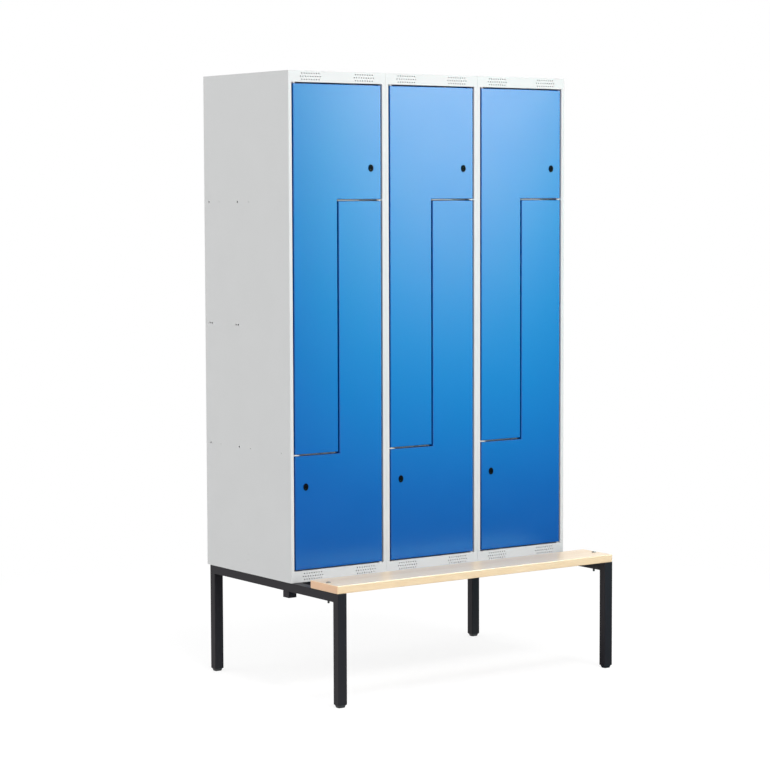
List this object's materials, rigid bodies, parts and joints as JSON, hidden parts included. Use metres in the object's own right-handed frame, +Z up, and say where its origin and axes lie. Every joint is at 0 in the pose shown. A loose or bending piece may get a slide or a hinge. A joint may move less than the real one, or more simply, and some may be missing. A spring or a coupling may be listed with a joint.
{
  "type": "locker with bench",
  "caption": "Steel changing-room locker with Z-shaped doors on a tube stand that reaches forward to carry a wooden bench; doors swing on pins and cam locks turn behind the frame.",
  "frame": {"origin": "on the floor, under the centre of the whole object, bench included", "axes": "+X to the right along the row of modules as seen from the front, +Y from the bench towards the back panel, +Z up"},
  "size_m": [1.2, 0.83, 2.125],
  "materials": {
    "body_paint": "light grey powder coat",
    "door_paint": "blue satin powder coat",
    "stand_paint": "black satin powder coat",
    "lock_plastic": "black",
    "zinc_steel": "zinc plated",
    "foot_plastic": "black",
    "board_wood": "clear varnished birch"
  },
  "bodies": {
    "locker": {"side_panel_left": "body_paint", "side_panel_right": "body_paint", "top_panel": "body_paint", "bottom_panel": "body_paint", "back_panel": "body_paint", "partition_wall_left_centre": "body_paint", "partition_wall_centre_right": "body_paint", "front_frame_left": "body_paint", "front_frame_centre": "body_paint", "front_frame_right": "body_paint", "centre_divider_left": "body_paint", "centre_divider_centre": "body_paint", "centre_divider_right": "body_paint", "upper_shelf_left": "body_paint", "upper_shelf_centre": "body_paint", "upper_shelf_right": "body_paint", "lower_shelf_left": "body_paint", "lower_shelf_centre": "body_paint", "lower_shelf_right": "body_paint", "coat_rail_upper_left": "zinc_steel", "coat_rail_upper_centre": "zinc_steel", "coat_rail_upper_right": "zinc_steel", "coat_rail_lower_left": "zinc_steel", "coat_rail_lower_centre": "zinc_steel", "coat_rail_lower_right": "zinc_steel", "side_frame_left": "stand_paint", "side_frame_right": "stand_paint", "front_beam": "stand_paint", "rear_beam": "stand_paint", "foot_front_left": "foot_plastic", "foot_front_right": "foot_plastic", "foot_rear_left": "foot_plastic", "foot_rear_right": "foot_plastic", "saddle_block_left": "stand_paint", "saddle_block_right": "stand_paint", "fixing_bolt_left": "zinc_steel", "fixing_bolt_right": "zinc_steel", "bench_board": "board_wood", "bench_bolt_left": "zinc_steel", "bench_bolt_right": "zinc_steel", "rivet_nut_left": "zinc_steel", "rivet_nut_right": "zinc_steel"},
    "upper_door_left": {"door_upper_left": "door_paint", "lock_housing_upper_left": "lock_plastic"},
    "upper_door_centre": {"door_upper_centre": "door_paint", "lock_housing_upper_centre": "lock_plastic"},
    "upper_door_right": {"door_upper_right": "door_paint", "lock_housing_upper_right": "lock_plastic"},
    "lower_door_left": {"door_lower_left": "door_paint", "lock_housing_lower_left": "lock_plastic"},
    "lower_door_centre": {"door_lower_centre": "door_paint", "lock_housing_lower_centre": "lock_plastic"},
    "lower_door_right": {"door_lower_right": "door_paint", "lock_housing_lower_right": "lock_plastic"},
    "upper_cam_left": {"lock_cam_upper_left": "zinc_steel"},
    "upper_cam_centre": {"lock_cam_upper_centre": "zinc_steel"},
    "upper_cam_right": {"lock_cam_upper_right": "zinc_steel"},
    "lower_cam_left": {"lock_cam_lower_left": "zinc_steel"},
    "lower_cam_centre": {"lock_cam_lower_centre": "zinc_steel"},
    "lower_cam_right": {"lock_cam_lower_right": "zinc_steel"}
  },
  "joints": [
    {"name": "upper_door_left_hinge", "type": "hinge", "parent": "locker", "child": "upper_door_left", "pos_m": [-0.5755, -0.1295, 1.255], "axis": [0, 0, -1], "range_deg": [0, 95]},
    {"name": "upper_door_centre_hinge", "type": "hinge", "parent": "locker", "child": "upper_door_centre", "pos_m": [-0.1755, -0.1295, 1.255], "axis": [0, 0, -1], "range_deg": [0, 95]},
    {"name": "upper_door_right_hinge", "type": "hinge", "parent": "locker", "child": "upper_door_right", "pos_m": [0.2245, -0.1295, 1.255], "axis": [0, 0, -1], "range_deg": [0, 95]},
    {"name": "lower_door_left_hinge", "type": "hinge", "parent": "locker", "child": "lower_door_left", "pos_m": [-0.2245, -0.1295, 1.255], "axis": [0, 0, 1], "range_deg": [0, 95]},
    {"name": "lower_door_centre_hinge", "type": "hinge", "parent": "locker", "child": "lower_door_centre", "pos_m": [0.1755, -0.1295, 1.255], "axis": [0, 0, 1], "range_deg": [0, 95]},
    {"name": "lower_door_right_hinge", "type": "hinge", "parent": "locker", "child": "lower_door_right", "pos_m": [0.5755, -0.1295, 1.255], "axis": [0, 0, 1], "range_deg": [0, 95]},
    {"name": "upper_cam_left_turn", "type": "hinge", "parent": "upper_door_left", "child": "upper_cam_left", "pos_m": [-0.262, -0.12, 1.798], "axis": [0, 1, 0], "range_deg": [0, 90]},
    {"name": "upper_cam_centre_turn", "type": "hinge", "parent": "upper_door_centre", "child": "upper_cam_centre", "pos_m": [0.138, -0.12, 1.798], "axis": [0, 1, 0], "range_deg": [0, 90]},
    {"name": "upper_cam_right_turn", "type": "hinge", "parent": "upper_door_right", "child": "upper_cam_right", "pos_m": [0.538, -0.12, 1.798], "axis": [0, 1, 0], "range_deg": [0, 90]},
    {"name": "lower_cam_left_turn", "type": "hinge", "parent": "lower_door_left", "child": "lower_cam_left", "pos_m": [-0.538, -0.12, 0.712], "axis": [0, 1, 0], "range_deg": [0, 90]},
    {"name": "lower_cam_centre_turn", "type": "hinge", "parent": "lower_door_centre", "child": "lower_cam_centre", "pos_m": [-0.138, -0.12, 0.712], "axis": [0, 1, 0], "range_deg": [0, 90]},
    {"name": "lower_cam_right_turn", "type": "hinge", "parent": "lower_door_right", "child": "lower_cam_right", "pos_m": [0.262, -0.12, 0.712], "axis": [0, 1, 0], "range_deg": [0, 90]}
  ]
}
